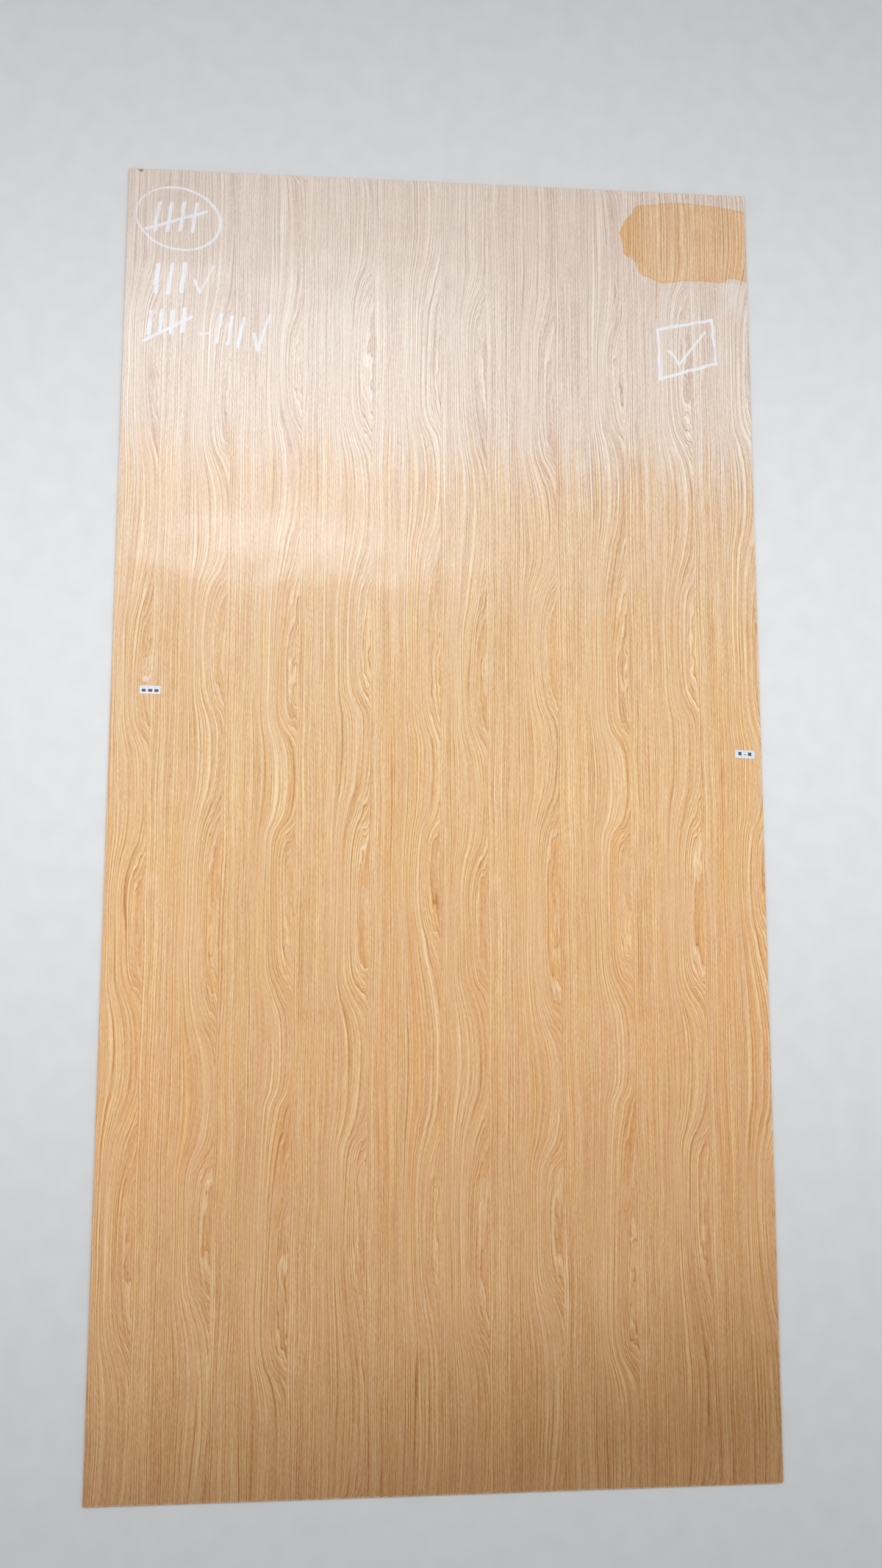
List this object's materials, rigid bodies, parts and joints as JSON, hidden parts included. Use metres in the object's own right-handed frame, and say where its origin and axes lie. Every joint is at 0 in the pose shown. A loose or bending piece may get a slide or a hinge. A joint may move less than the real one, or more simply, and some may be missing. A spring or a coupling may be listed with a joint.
{
  "type": "wood veneer sheet",
  "caption": "Thin flat sheet of decorative wood veneer board, laid show face up, for gluing to a wall, door or cabinet carcass.",
  "frame": {"origin": "middle of the back face, which rests on the floor", "axes": "+X across the grain, +Y along the grain towards the head of the sheet, +Z out of the show face"},
  "size_m": [1.22, 2.44, 0.0041],
  "materials": {
    "veneer": "sanded, unfinished",
    "label_paper": "matt",
    "old_paper": "torn, fibrous"
  },
  "bodies": {
    "root": {"veneer_sheet": "veneer", "label_left": "label_paper", "label_right": "label_paper", "label_scrap": "old_paper"}
  },
  "joints": []
}
